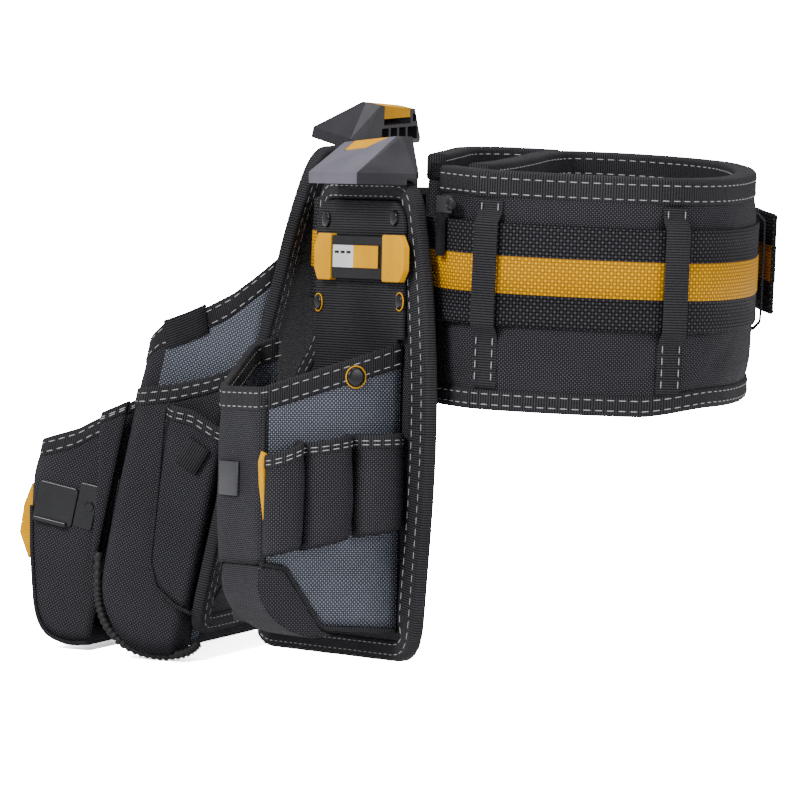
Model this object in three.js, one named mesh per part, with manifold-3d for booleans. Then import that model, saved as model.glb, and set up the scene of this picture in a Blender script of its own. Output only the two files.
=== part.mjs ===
// A padded tool belt lying closed in a loop, with two pouches hooked on its left side.
// Millimetres. The origin is the middle of the waist loop, at half the height of the webbing strap.
// +X runs to the wearer's end of the pad that bends away, +Y to the far side of the loop, +Z up.
import * as THREE from 'three';
import Module from 'manifold-3d';
import { mergeVertices } from 'three/addons/utils/BufferGeometryUtils.js';

const wasm = await Module();
wasm.setup();

// ---------------------------------------------------------------- driving dimensions
const GAP = 0.3; // clearance between neighbouring pieces
const RAD = Math.PI / 180;

const STRAP_HEIGHT = 63.5; // 2.5 inch webbing
const STRAP_THICK = 3;
const STRIPE_HEIGHT = 23;
const PAD_TOP = 63;
const PAD_BOTTOM = -84;
const PAD_THICK = 12;
const TOP_BINDING = 17; // height of the bound edge
const LOW_BINDING = 13;
const BINDING_LIP = 1.2; // how far a binding stands out from what it binds
const LOOP_WIDTH = 16;

const PANEL_THICK = 6;
const BAG_WALL = 2.5;
const EDGE_WIDTH = 12; // bound edge round a pouch's back panel

// The strap's centre line, round the waist.
const STRAP_ROUTE = [
  [-48.5, -146], [-18, -164], [40, -171], [95, -156], [125, -100], [136, -20], [136, 45],
  [124, 115], [90, 162], [40, 186], [-15, 206], [-53, 232], [-82, 226], [-97, 186],
  [-119.5, 115], [-141, 47], [-131, 24], [-91.8, -56],
];

// ---------------------------------------------------------------- materials
const NYLON = { color: 0x1b1b1e, roughness: 0.9, metalness: 0 };
const BINDING = { color: 0x2b2b30, roughness: 0.85, metalness: 0 };
const MESH_GREY = { color: 0x555964, roughness: 0.9, metalness: 0 };
const YELLOW_WEAVE = { color: 0xf2a51e, roughness: 0.8, metalness: 0 };
const YELLOW = { color: 0xf7ab1b, roughness: 0.45, metalness: 0 };
const BLACK_PLASTIC = { color: 0x1c1c20, roughness: 0.45, metalness: 0 };
const GREY_PLASTIC = { color: 0x77747f, roughness: 0.5, metalness: 0 };
const WHITE_PLASTIC = { color: 0xe9e9ec, roughness: 0.5, metalness: 0 };
const RUBBER = { color: 0x202022, roughness: 0.7, metalness: 0 };
const BLACK_METAL = { color: 0x17171a, roughness: 0.35, metalness: 0.8 };

// ---------------------------------------------------------------- helpers
function addMesh(parent, name, geometry, look) {
  const mesh = new THREE.Mesh(geometry, new THREE.MeshStandardMaterial(look));
  mesh.name = name;
  parent.add(mesh);
  return mesh;
}

function toSolid(geometry) {
  const bare = geometry.clone();
  bare.deleteAttribute('normal');
  bare.deleteAttribute('uv');
  const merged = mergeVertices(bare, 1e-4);
  return new wasm.Manifold(new wasm.Mesh({
    numProp: 3,
    vertProperties: new Float32Array(merged.attributes.position.array),
    triVerts: new Uint32Array(merged.index.array),
  }));
}

function toGeometry(solid) {
  const mesh = solid.getMesh();
  const geometry = new THREE.BufferGeometry();
  geometry.setAttribute('position', new THREE.BufferAttribute(new Float32Array(mesh.vertProperties), 3));
  geometry.setIndex(new THREE.BufferAttribute(new Uint32Array(mesh.triVerts), 1));
  return geometry;
}

// Corners are [x, y, radius]; each corner is rounded by a curve.
function roundedShape(corners) {
  const shape = new THREE.Shape();
  corners.forEach(([x, y, radius], i) => {
    const corner = new THREE.Vector2(x, y);
    const before = new THREE.Vector2(...corners.at(i - 1));
    const after = new THREE.Vector2(...corners[(i + 1) % corners.length]);
    const toBefore = before.sub(corner);
    const toAfter = after.sub(corner);
    const entry = corner.clone().add(toBefore.clampLength(0, Math.min(radius, 0.45 * toBefore.length())));
    const exit = corner.clone().add(toAfter.clampLength(0, Math.min(radius, 0.45 * toAfter.length())));
    if (i === 0) shape.moveTo(entry.x, entry.y);
    else shape.lineTo(entry.x, entry.y);
    if (radius) shape.quadraticCurveTo(x, y, exit.x, exit.y);
  });
  return shape;
}

// Moves a closed outline by a distance along its own normals: positive grows it. Points that a
// tight corner would fold back over the outline are dropped.
function offsetOutline(points, distance) {
  const turn = THREE.ShapeUtils.isClockWise(points) ? -1 : 1;
  const edges = points.map((point, i) => new THREE.Line3(
    new THREE.Vector3(point.x, point.y, 0),
    new THREE.Vector3(...points[(i + 1) % points.length].toArray(), 0),
  ));
  const nearest = new THREE.Vector3();
  const clearance = (at) => Math.min(...edges.map((edge) => (
    edge.closestPointToPoint(at, true, nearest).distanceTo(at))));
  const normalOf = (from, to) => new THREE.Vector2(to.y - from.y, from.x - to.x).normalize();
  return points.map((point, i) => {
    const before = normalOf(points.at(i - 1), point);
    const after = normalOf(point, points[(i + 1) % points.length]);
    const mitre = before.clone().add(after).multiplyScalar(distance * turn / (1 + before.dot(after)));
    return point.clone().add(mitre);
  }).filter((point) => (
    clearance(new THREE.Vector3(point.x, point.y, 0)) >= Math.abs(distance) * 0.9 - 0.01));
}

function outlineOf(corners, steps = 5) {
  const points = roundedShape(corners).getPoints(steps);
  return points.filter((point, i) => point.distanceTo(points.at(i - 1)) > 0.5);
}

function extrude(shape, depth) {
  return new THREE.ExtrudeGeometry(shape, { depth, bevelEnabled: false, curveSegments: 6 });
}

// A flat piece standing in a pouch's own frame: its outline is drawn in (across, up),
// and it fills the outward range from..to.
function upright(shape, from, to) {
  const geometry = extrude(shape, to - from);
  geometry.rotateX(Math.PI / 2); // (x, y, depth) -> (x, -depth, y)
  return geometry.translate(0, to, 0);
}

// A piece with one side profile drawn in (outward, up), filling the range from..to across.
function sideways(shape, from, to) {
  const geometry = extrude(shape, to - from);
  geometry.applyMatrix4(new THREE.Matrix4().set(0, 0, 1, from, 1, 0, 0, 0, 0, 1, 0, 0, 0, 0, 0, 1));
  return geometry;
}

// A piece with one plan outline drawn in (across, outward), filling the height range.
function level(shape, from, to) {
  return extrude(shape, to - from).translate(0, 0, from);
}

function box(x0, x1, y0, y1, z0, z1) {
  const geometry = new THREE.BoxGeometry(x1 - x0, y1 - y0, z1 - z0);
  return geometry.translate((x0 + x1) / 2, (y0 + y1) / 2, (z0 + z1) / 2);
}

// A round disc whose axis points outward (+Y of the pouch frame).
function disc(x, y, z, radius, height, sides = 20) {
  return new THREE.CylinderGeometry(radius, radius, height, sides).translate(x, y + height / 2, z);
}

// Points beside a level curve: a positive offset lies outside the waist loop.
function beside(curve, t, offset) {
  const point = curve.getPoint(t);
  const along = curve.getTangent(t);
  return new THREE.Vector2(point.x + along.y * offset, point.y - along.x * offset);
}

// An upright band that follows part of a level curve.
function band(curve, t0, t1, steps, inner, outer, low, high) {
  const outside = [];
  const inside = [];
  for (let i = 0; i <= steps; i += 1) {
    const t = t0 + (t1 - t0) * i / steps;
    outside.push(beside(curve, t, outer));
    inside.unshift(beside(curve, t, inner));
  }
  return level(new THREE.Shape([...outside, ...inside]), low, high);
}

function levelCurve(points, closed) {
  return new THREE.CatmullRomCurve3(points.map(([x, y]) => new THREE.Vector3(x, y, 0)), closed, 'centripetal');
}

const points2 = (pairs) => pairs.map(([x, y]) => new THREE.Vector2(x, y));

const belt = new THREE.Group();

// ---------------------------------------------------------------- belt
const strapCurve = levelCurve(STRAP_ROUTE, true);
const stationOf = (index) => index / STRAP_ROUTE.length; // curve parameter of a route point
const STRAP_OUT = STRAP_THICK / 2;

// A closed band round the whole waist loop.
function ring(inner, outer, low, high, steps = 96) {
  const loopAt = (offset) => Array.from({ length: steps }, (_, i) => beside(strapCurve, i / steps, offset));
  const shape = new THREE.Shape(loopAt(outer));
  shape.holes.push(new THREE.Path(loopAt(inner)));
  return level(shape, low, high);
}

addMesh(belt, 'waist_strap', ring(-STRAP_OUT, STRAP_OUT, -STRAP_HEIGHT / 2, STRAP_HEIGHT / 2), NYLON);
addMesh(belt, 'strap_stripe', ring(STRAP_OUT + GAP, STRAP_OUT + GAP + 0.6, -STRIPE_HEIGHT / 2,
  STRIPE_HEIGHT / 2), YELLOW_WEAVE);

// The lumbar pad follows the strap's inner face from the near pouch, round the bend and along the
// far side; its free end then turns in across the loop.
const PAD_OFFSET = -(STRAP_OUT + 1.6 + PAD_THICK / 2);
const PAD_STATIONS = [17.6, 0.2, 0.6, 1, 1.6, 2.2, 2.8, 3.4, 4, 4.6, 5.2, 5.8, 6.4, 7, 7.6, 8.2, 8.7];
const PAD_FREE_END = [[18, 166], [3, 132], [-10, 60], [-25, -16], [-40, -68]];
const padCurve = levelCurve([
  ...PAD_STATIONS.map((index) => beside(strapCurve, stationOf(index), PAD_OFFSET).toArray()),
  ...PAD_FREE_END,
], false);
const WING_ROUTE = [[12, 181], [-20, 187], [-44, 168], [-56, 110], [-66, 45]];
const wingCurve = levelCurve(WING_ROUTE, false);
const WING_THICK = 10;

function boundPad(name, curve, thick, steps) {
  const half = thick / 2;
  const edge = half + BINDING_LIP;
  addMesh(belt, name, band(curve, 0, 1, steps, -half, half, PAD_BOTTOM + LOW_BINDING + GAP,
    PAD_TOP - TOP_BINDING - GAP), NYLON);
  addMesh(belt, `${name}_top_binding`, band(curve, 0, 1, steps, -edge, edge,
    PAD_TOP - TOP_BINDING, PAD_TOP), BINDING);
  addMesh(belt, `${name}_low_binding`, band(curve, 0, 1, steps, -edge, edge,
    PAD_BOTTOM, PAD_BOTTOM + LOW_BINDING), BINDING);
}
boundPad('lumbar_pad', padCurve, PAD_THICK, 84);
boundPad('wing_pad', wingCurve, WING_THICK, 24);

// Places a piece drawn in (across, outward, up) against the strap at a route station.
function seat(mesh, index) {
  const point = strapCurve.getPoint(stationOf(index));
  const along = strapCurve.getTangent(stationOf(index));
  mesh.position.copy(point);
  mesh.rotation.z = Math.atan2(-along.y, -along.x);
}

// Belt loops: webbing sewn to the pad above and below, bowed out over the strap.
const LOOP_THICK = 1.5;
const SEWN = -STRAP_OUT - 0.6; // inner face of a sewn end, just off the pad
const BOWED = STRAP_OUT + 1.7; // inner face where it crosses the strap
const LOOP_TOP = PAD_TOP - TOP_BINDING - 2 * GAP;
const LOOP_FOOT = PAD_BOTTOM + LOW_BINDING + 2 * GAP;
const BOW_HALF = STRAP_HEIGHT / 2 + 1.5;
const loopProfile = new THREE.Shape([
  [SEWN, LOOP_TOP], [SEWN, BOW_HALF + 5.5], [BOWED, BOW_HALF + 0.4], [BOWED, -BOW_HALF - 0.4],
  [SEWN, -BOW_HALF - 5.5], [SEWN, LOOP_FOOT], [SEWN + LOOP_THICK, LOOP_FOOT],
  [SEWN + LOOP_THICK, -BOW_HALF - 4.8], [BOWED + LOOP_THICK, -BOW_HALF],
  [BOWED + LOOP_THICK, BOW_HALF], [SEWN + LOOP_THICK, BOW_HALF + 4.8], [SEWN + LOOP_THICK, LOOP_TOP],
].map(([x, y]) => new THREE.Vector2(x, y)));
const LOOP_STATIONS = [0.55, 2.72, 5.25, 7.2, 8.1];
LOOP_STATIONS.forEach((index, i) => {
  seat(addMesh(belt, `belt_loop_${i + 1}`, sideways(loopProfile, -LOOP_WIDTH / 2, LOOP_WIDTH / 2), NYLON),
    index);
});

// The strap's free end lies outside the loops and ends past the bend; the buckle holds its root.
const TAIL_IN = STRAP_OUT + 4.6;
const TAIL_RAISED = 4;
addMesh(belt, 'strap_tail', band(strapCurve, stationOf(5.5), stationOf(8.72), 34, TAIL_IN,
  TAIL_IN + STRAP_THICK, TAIL_RAISED - STRAP_HEIGHT / 2, TAIL_RAISED + STRAP_HEIGHT / 2), NYLON);
addMesh(belt, 'tail_stripe', band(strapCurve, stationOf(5.55), stationOf(8.7), 34,
  TAIL_IN + STRAP_THICK + GAP, TAIL_IN + STRAP_THICK + GAP + 0.6, TAIL_RAISED - STRIPE_HEIGHT / 2,
  TAIL_RAISED + STRIPE_HEIGHT / 2), YELLOW_WEAVE);

const BUCKLE_STATION = 9.25;
const BUCKLE = { wide: 54, tall: 78, window: 40, windowTall: 64, from: 4.5, to: 8.5 };
function rectangle(wide, tall, radius) {
  return [[-wide / 2, -tall / 2, radius], [wide / 2, -tall / 2, radius],
    [wide / 2, tall / 2, radius], [-wide / 2, tall / 2, radius]];
}
const frameShape = roundedShape(rectangle(BUCKLE.wide, BUCKLE.tall, 8));
frameShape.holes.push(roundedShape(rectangle(BUCKLE.window, BUCKLE.windowTall, 4)));
seat(addMesh(belt, 'buckle_frame', upright(frameShape, BUCKLE.from, BUCKLE.to), BLACK_METAL), BUCKLE_STATION);
const LEVER = { wide: BUCKLE.window - 2, tall: BUCKLE.windowTall - 3, thick: 4.5 };
const HINGE = { across: (LEVER.thick - LEVER.wide) / 2, outward: BUCKLE.from + 0.5 + LEVER.thick / 2 };
const leverShape = roundedShape([
  [HINGE.across, -LEVER.tall / 2, 0], [LEVER.wide / 2, -LEVER.tall / 2, 4],
  [LEVER.wide / 2, LEVER.tall / 2, 4], [HINGE.across, LEVER.tall / 2, 0],
]);
const barrel = new THREE.CylinderGeometry(LEVER.thick / 2, LEVER.thick / 2, LEVER.tall, 32);
barrel.rotateX(Math.PI / 2).translate(HINGE.across, HINGE.outward, 0);
const lever = toSolid(upright(leverShape, HINGE.outward - LEVER.thick / 2,
  HINGE.outward + LEVER.thick / 2)).add(toSolid(barrel));
seat(addMesh(belt, 'buckle_lever', toGeometry(lever), BLACK_METAL), BUCKLE_STATION);

// ---------------------------------------------------------------- pouches
// A pouch's own frame: +X across its back panel from the near edge, +Y outward, +Z up.
function pouchFrame(x, y, z, outward, lean, tilt) {
  const frame = new THREE.Group();
  frame.position.set(x, y, z);
  frame.rotation.set(lean * RAD, tilt * RAD, (outward - 90) * RAD, 'ZXY');
  belt.add(frame);
  return frame;
}

// The back panel and the bound edge round it.
function backPanel(frame, prefix, corners) {
  const outline = outlineOf(corners);
  const half = PANEL_THICK / 2;
  const panel = new THREE.Shape(offsetOutline(outline, -EDGE_WIDTH - GAP));
  addMesh(frame, `${prefix}_panel`, upright(panel, -half, half), NYLON);
  const edge = new THREE.Shape(offsetOutline(outline, BINDING_LIP));
  edge.holes.push(new THREE.Path(offsetOutline(outline, -EDGE_WIDTH)));
  addMesh(frame, `${prefix}_edge_binding`, upright(edge, -half - BINDING_LIP, half + BINDING_LIP), BINDING);
}

// A closed solid through level sections with the same number of points, lowest first; each
// section is an anticlockwise list of [across, outward, up].
function loft(sections) {
  const count = sections[0].length;
  const positions = [];
  const place = (a, b, c) => positions.push(...a, ...b, ...c);
  for (let row = 1; row < sections.length; row += 1) {
    const [below, above] = [sections[row - 1], sections[row]];
    for (let i = 0; i < count; i += 1) {
      const j = (i + 1) % count;
      place(below[i], below[j], above[j]);
      place(below[i], above[j], above[i]);
    }
  }
  const [foot, head] = [sections[0], sections.at(-1)];
  for (let i = 1; i < count - 1; i += 1) {
    place(foot[0], foot[i + 1], foot[i]);
    place(head[0], head[i], head[i + 1]);
  }
  const geometry = new THREE.BufferGeometry();
  return geometry.setAttribute('position', new THREE.BufferAttribute(new Float32Array(positions), 3));
}

// The plastic hood that hooks over the belt: a hipped cap with a skirt, ribbed on the wearer's
// side, with its sprung lever let into the ridge. Plan outlines are [across, outward]; the near
// corners of the two hoods differ, because each is cut back for its neighbour.
const hoodLip = (corner) => [
  [corner.back, -11], [112, -11], [112, 0], [90, 33], [corner.lip, 33], [corner.side, 0],
];
const hoodRidge = (corner) => [
  [corner.ridge + 4, -7], [100, -7], [100, 2], [98, 5], [corner.ridge + 2, 5], [corner.ridge, 2],
];
const NEAR_CORNER = { back: 24, side: 5, lip: 21, ridge: 22 };
const FAR_CORNER = { back: -12, side: -3, lip: 19, ridge: 20 };
const HOOD_SKIRT = { low: -4, high: 3 };
const HOOD_HIGH = { near: 26, far: 22 };
const HOOD_LEVER = [[34, -12], [31, 2], [50, 14], [80, 14], [92, -12]];
const LEVER_FOOT = 17;
const LEVER_TRAVEL = 3;
const HOOD_WINDOWS = [ // ribbed openings on the wearer's side: across from, to, up from, to
  [30, 44, 3, 11], [48, 62, 3, 11], [66, 80, 3, 11], [84, 104, 3, 11],
  [95, 102, 14, 19],
];
function hood(frame, prefix, start, base, corner) {
  const section = (plan, upOf) => plan.map(([x, y]) => [start + x, y, base + upOf(x)]);
  const ridgeUp = (x) => (x < 50 ? HOOD_HIGH.near : HOOD_HIGH.far);
  const whole = toSolid(loft([
    section(hoodLip(corner), () => HOOD_SKIRT.low),
    section(hoodLip(corner), () => HOOD_SKIRT.high),
    section(hoodRidge(corner), ridgeUp),
  ])).subtract(toSolid(box(start - 20, start + 113, -20, 5.2, base - 10, base)));
  const leverPlan = outlineOf(HOOD_LEVER.map(([x, y]) => [start + x, y, 0]));
  const notch = level(new THREE.Shape(leverPlan), base + LEVER_FOOT - LEVER_TRAVEL - 1, base + 40);
  const lever = level(new THREE.Shape(offsetOutline(leverPlan, -0.6)), base + LEVER_FOOT, base + 40);
  let shell = whole.subtract(toSolid(notch));
  HOOD_WINDOWS.forEach(([from, to, low, high]) => {
    shell = shell.subtract(toSolid(box(start + from, start + to, -20, -2, base + low, base + high)));
  });
  addMesh(frame, `${prefix}_hood`, toGeometry(shell), GREY_PLASTIC);
  addMesh(frame, `${prefix}_release_lever`, toGeometry(whole.intersect(toSolid(lever))), YELLOW);
}

// The clip on the strap that the hood and panel hang from: open below, closed over the strap.
function strapClip(frame, name, from, to, profile) {
  const shape = new THREE.Shape(profile.map(([x, y]) => new THREE.Vector2(x, y)));
  addMesh(frame, name, sideways(shape, from, to), BLACK_PLASTIC);
}

// An open bag. Its plan outline is drawn in (across, outward); base and mouth are side-view lines in
// (outward, up), from the back to the front. The bound mouth is a piece of its own.
const REACH = 400;
function sideSolid(low, high) { // everything between two side-view lines
  return toSolid(sideways(new THREE.Shape(points2([...low, ...high.toReversed()])), -REACH, REACH));
}

function openBag(frame, prefix, look, { plan, base, mouth, wall, floor, bound }) {
  const outline = outlineOf(plan, 3);
  const lifted = (line, rise) => line.map(([outward, up]) => [outward, up + rise]);
  const prism = (grow) => toSolid(level(new THREE.Shape(offsetOutline(outline, grow)), -REACH, REACH));
  const cut = bound ? -bound - GAP : 0;
  const room = sideSolid(lifted(base, floor), lifted(mouth, 1)).intersect(prism(-wall));
  const bag = prism(0).intersect(sideSolid(base, lifted(mouth, cut))).subtract(room);
  addMesh(frame, `${prefix}`, toGeometry(bag), look);
  if (!bound) return;
  const rim = prism(BINDING_LIP).subtract(prism(-wall - 1));
  const behind = mouth[0][0];
  const zone = sideSolid(lifted(mouth, -bound), mouth);
  const clear = toSolid(box(-REACH, REACH, behind, REACH, -REACH, REACH));
  addMesh(frame, `${prefix}_binding`, toGeometry(rim.intersect(zone).intersect(clear)), BINDING);
}

// ---------------------------------------------------------------- near pouch
const near = pouchFrame(-62, -152, 5, 206, 0, 3);
backPanel(near, 'near', [
  [34, 49, 20], [13, -20, 40], [4, -110, 60], [22, -246, 24], [252, -246, 28], [240, -150, 50],
  [206, -92, 40], [176, -40, 30], [168, 10, 30], [166, 49, 20],
]);

const TOWER_OUT = PANEL_THICK / 2 + BINDING_LIP + GAP; // first free distance outward of the panel
const TOWER_FRONT = TOWER_OUT + 2.5;
const nearTower = roundedShape([[36, -46, 0], [162, -46, 0], [162, 37, 18], [36, 37, 18]]);
addMesh(near, 'near_tower', upright(nearTower, TOWER_OUT, TOWER_FRONT), NYLON);
[[49, 26.5], [146, 24.5], [39.5, -25], [155.5, -27.5]].forEach(([across, up], i) => {
  addMesh(near, `near_rivet_${i + 1}`, disc(across, TOWER_FRONT + GAP, up, 5.5, 2), BLACK_METAL);
});

const BADGE = { from: 55, to: 128, low: -12, high: 15, back: TOWER_FRONT + 0.4, front: 12.4 };
addMesh(near, 'near_badge', box(BADGE.from, BADGE.to, BADGE.back, BADGE.front, BADGE.low, BADGE.high),
  BLACK_PLASTIC);
[[BADGE.from - GAP, -30], [BADGE.to + GAP, 24]].forEach(([root, length], i) => {
  const cap = new THREE.Shape(points2([
    [root, BADGE.low - 1], [root + length * 0.8, BADGE.low - 1], [root + length, BADGE.low + 6],
    [root + length, BADGE.high - 6], [root + length * 0.8, BADGE.high + 1], [root, BADGE.high + 1],
  ]));
  addMesh(near, `near_badge_cap_${i + 1}`, upright(cap, 8.4, BADGE.front + 0.7), YELLOW);
});
[['near_badge_plate_yellow', 60, 94.5, YELLOW], ['near_badge_plate_white', 94.8, 124, WHITE_PLASTIC]]
  .forEach(([name, from, to, look]) => {
    addMesh(near, name, box(from, to, BADGE.front + GAP, BADGE.front + 1.2, -5, 9), look);
  });

hood(near, 'near', 30, 51, NEAR_CORNER);
strapClip(near, 'near_strap_clip', 62, 150, [
  [-6, -36], [-6, 46], [-23, 46], [-23, -30], [-19.6, -30], [-19.6, 41], [-9.4, 41], [-9.4, -36],
]);

// The end of the clip's rail, bolted at the panel's near edge.
const bolt = new THREE.CylinderGeometry(3.9, 3.9, 4, 6).rotateZ(Math.PI / 2).translate(1.2, -8.5, 36);
const railEnd = toSolid(box(3, 18, -9, -5.6, 4, 41)).add(toSolid(bolt));
addMesh(near, 'rail_end', toGeometry(railEnd), BLACK_PLASTIC);

// The bag: one side wall runs straight out, the other runs back on a slant to the far edge.
const NEAR_SIDE = 40; // where its side wall stands
const NEAR_FRONT = 99;
const MOUTH_BINDING = 15;
openBag(near, 'near_bag', MESH_GREY, {
  plan: [
    [NEAR_SIDE, TOWER_OUT, 0], [NEAR_SIDE, NEAR_FRONT, 7], [97, NEAR_FRONT + 2, 8], [222, 22, 10],
    [222, TOWER_OUT, 0],
  ],
  base: [[TOWER_OUT, -229], [56, -227], [82, -190], [NEAR_FRONT + 6, -187]],
  mouth: [[TOWER_OUT, -50.5], [NEAR_FRONT + 6, -80.5]],
  wall: BAG_WALL,
  floor: 3,
  bound: MOUTH_BINDING,
});
const cupShape = new THREE.Shape(points2([
  [52, -228.2], [56.3, -227.8], [82.3, -190.9], [NEAR_FRONT, -188.8], [NEAR_FRONT + 2, -200],
  [94, -217], [77, -229], [60, -232],
]));
addMesh(near, 'near_base_cup', sideways(cupShape, NEAR_SIDE + 2, 90), NYLON);

const SNAP = { outward: 37, up: -71.6, radius: 7.3 };
const snap = new THREE.CylinderGeometry(SNAP.radius, SNAP.radius, 3, 24).rotateZ(Math.PI / 2);
addMesh(near, 'near_snap', snap.translate(NEAR_SIDE - 3.1, SNAP.outward, SNAP.up), BLACK_METAL);

// Three tool tubes on the side wall: half-round, open above and below.
// Each is open from `from` to `to` outward; high and low are the ends' heights at those two.
const TUBES = [
  { from: 6, to: 38, high: [-106, -107], low: [-165, -170] },
  { from: 41, to: 73, high: [-107, -112], low: [-170, -178] },
  { from: 74, to: 98, high: [-111, -120], low: [-176, -182] },
];
const TUBE_SIDE = NEAR_SIDE - GAP;
const TUBE_DEEP = 14;
const TUBE_WALL = 1.8;
TUBES.forEach(({ from, to, high, low }, i) => {
  const half = (to - from) / 2;
  const dee = (deep, inset) => outlineOf([
    [TUBE_SIDE - inset, to - inset, 0], [TUBE_SIDE - deep, to - half * 0.3 - inset, half * 0.6],
    [TUBE_SIDE - deep, from + half * 0.3 + inset, half * 0.6], [TUBE_SIDE - inset, from + inset, 0],
  ], 5);
  const shape = new THREE.Shape(dee(TUBE_DEEP, 0));
  shape.holes.push(new THREE.Path(dee(TUBE_DEEP - TUBE_WALL, TUBE_WALL)));
  const slanted = sideSolid([[from, low[0]], [to, low[1]]], [[from, high[0]], [to, high[1]]]);
  addMesh(near, `near_tool_tube_${i + 1}`,
    toGeometry(toSolid(level(shape, low[1] - 5, high[0] + 5)).intersect(slanted)), NYLON);
});
addMesh(near, 'near_tag', box(71, 93, NEAR_FRONT + 2.3, NEAR_FRONT + 3.7, -146, -125), GREY_PLASTIC);

// ---------------------------------------------------------------- far pouch
const FAR_LEAN = 10;
const FAR_FACING = 162.4;
const far = pouchFrame(-161, 49, 0, FAR_FACING, FAR_LEAN, 0);
backPanel(far, 'far', [
  [26, 62, 24], [14, 20, 30], [9, -40, 30], [-13, -120, 30], [-17, -252, 22], [250, -252, 30],
  [250, -110, 60], [238, -30, 50], [226, 62, 26],
]);
hood(far, 'far', 96, 64, FAR_CORNER);
const farClipFrame = pouchFrame(-161, 49, 0, FAR_FACING, 0, 0);
strapClip(farClipFrame, 'far_strap_clip', 105, 185, [
  [-12.8, -36], [-12.8, 46], [-29.5, 46], [-29.5, -30], [-26, -30], [-26, 41], [-15.6, 41], [-15.6, -36],
]);

openBag(far, 'far_bag', MESH_GREY, {
  plan: [[8, TOWER_OUT, 0], [8, 72, 8], [20, 80, 8], [226, 80, 14], [242, 60, 10], [242, TOWER_OUT, 0]],
  base: [[TOWER_OUT, -259], [17, -268], [32, -270.5], [47, -268], [58, -260], [67, -246], [82, -215]],
  mouth: [[TOWER_OUT, -10], [13, -21], [44, -51], [69, -67], [82, -84]],
  wall: BAG_WALL,
  floor: 3,
  bound: MOUTH_BINDING,
});
openBag(far, 'far_side_pocket', NYLON, {
  plan: [[6.4, 8, 0], [-8, 14, 4], [-8, 70, 4], [6.4, 77, 0]],
  base: [[8, -260], [17, -266], [32, -268.5], [44, -266.5], [54, -258], [62, -222], [68, -168], [78, -127]],
  mouth: [[8, -80], [47, -101], [78, -112]],
  wall: 2,
  floor: 3,
  bound: 12,
});
openBag(far, 'far_slant_pocket', NYLON, {
  plan: [[-9.6, 6.4, 0], [-18, 8.4, 4], [-18, 43, 4], [-9.6, 48, 0]],
  base: [[2, -241], [14, -238.5], [28, -231], [36, -218], [41, -173], [49, -129]],
  mouth: [[2, -123], [14, -119], [30, -113.5], [49, -114]],
  wall: 1.8,
  floor: 3,
  bound: 10,
});
addMesh(far, 'far_pocket_tab', box(-20, -18.4, 15, 31, -152, -131), NYLON);
openBag(far, 'far_knife_pocket', NYLON, {
  plan: [[6, 80.6, 0], [6, 97, 3], [22, 97, 3], [22, 80.6, 0]],
  base: [[80.6, -232], [84, -230], [91, -172], [98, -138]],
  mouth: [[80.6, -121], [98, -133]],
  wall: 1.8,
  floor: 3,
  bound: 0,
});
openBag(far, 'far_tape_pocket', NYLON, {
  plan: [[26, 80.6, 0], [26, 140, 8], [110, 142, 10], [110, 80.6, 0]],
  base: [[80.6, -283], [95, -287], [111, -284], [120, -272], [130, -238], [142.5, -180]],
  mouth: [[80.6, -125], [103, -137.5], [117, -149], [143, -163]],
  wall: BAG_WALL,
  floor: 3,
  bound: 13,
});
addMesh(far, 'far_tape_clip', box(22.4, 25.7, 104.5, 137.5, -212, -187), BLACK_METAL);
addMesh(far, 'far_tape_clip_strap', box(23.4, 25.7, 94, 104.2, -211, -182), BLACK_METAL);
const hookShape = new THREE.Shape(points2([
  [142.6, -192], [145.5, -193], [148, -208], [147, -226], [137.5, -241], [134.5, -239], [139, -215],
]));
addMesh(far, 'far_tape_hook', sideways(hookShape, 40, 66), YELLOW);

// Ribbed rubber bumper round the foot of the side pocket.
const bumperPath = new THREE.CatmullRomCurve3([
  [77, -219], [73, -240], [69, -252], [61, -264], [48, -272], [32, -274.5], [16, -272], [4, -266],
  [-1, -259.5],
].map(([outward, up]) => new THREE.Vector3(-3, outward, up)));
const bumperSection = new THREE.Shape(Array.from({ length: 8 }, (_, i) => (
  new THREE.Vector2(3 * Math.cos(i * Math.PI / 4), 3 * Math.sin(i * Math.PI / 4)))));
addMesh(far, 'far_bumper', new THREE.ExtrudeGeometry(bumperSection, {
  steps: 30, bevelEnabled: false, extrudePath: bumperPath,
}), RUBBER);

export default belt;
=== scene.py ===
"""A padded tool belt with two clip-on pouches, dressed for rendering."""
import math

import bmesh
import bpy
from mathutils import Matrix, Vector, noise


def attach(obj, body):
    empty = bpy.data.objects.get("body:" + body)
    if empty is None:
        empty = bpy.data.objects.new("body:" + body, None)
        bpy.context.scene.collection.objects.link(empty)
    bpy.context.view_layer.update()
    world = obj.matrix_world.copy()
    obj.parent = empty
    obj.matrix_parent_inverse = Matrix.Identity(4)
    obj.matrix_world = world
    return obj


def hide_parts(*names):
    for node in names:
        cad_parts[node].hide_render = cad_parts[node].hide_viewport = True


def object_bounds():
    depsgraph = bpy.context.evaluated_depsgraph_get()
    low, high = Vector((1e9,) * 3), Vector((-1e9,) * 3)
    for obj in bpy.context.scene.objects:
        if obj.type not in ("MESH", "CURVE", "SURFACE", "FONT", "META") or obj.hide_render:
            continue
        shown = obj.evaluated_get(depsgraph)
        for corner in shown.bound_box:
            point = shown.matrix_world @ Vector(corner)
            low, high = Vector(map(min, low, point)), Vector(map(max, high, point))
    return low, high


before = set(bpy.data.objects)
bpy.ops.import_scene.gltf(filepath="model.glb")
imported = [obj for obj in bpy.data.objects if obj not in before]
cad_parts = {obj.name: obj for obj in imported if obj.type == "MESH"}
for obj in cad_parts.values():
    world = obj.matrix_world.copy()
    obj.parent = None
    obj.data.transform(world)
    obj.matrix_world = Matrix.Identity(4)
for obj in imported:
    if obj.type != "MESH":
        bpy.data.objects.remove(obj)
CAD_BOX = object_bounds()
MM = 0.001
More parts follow.
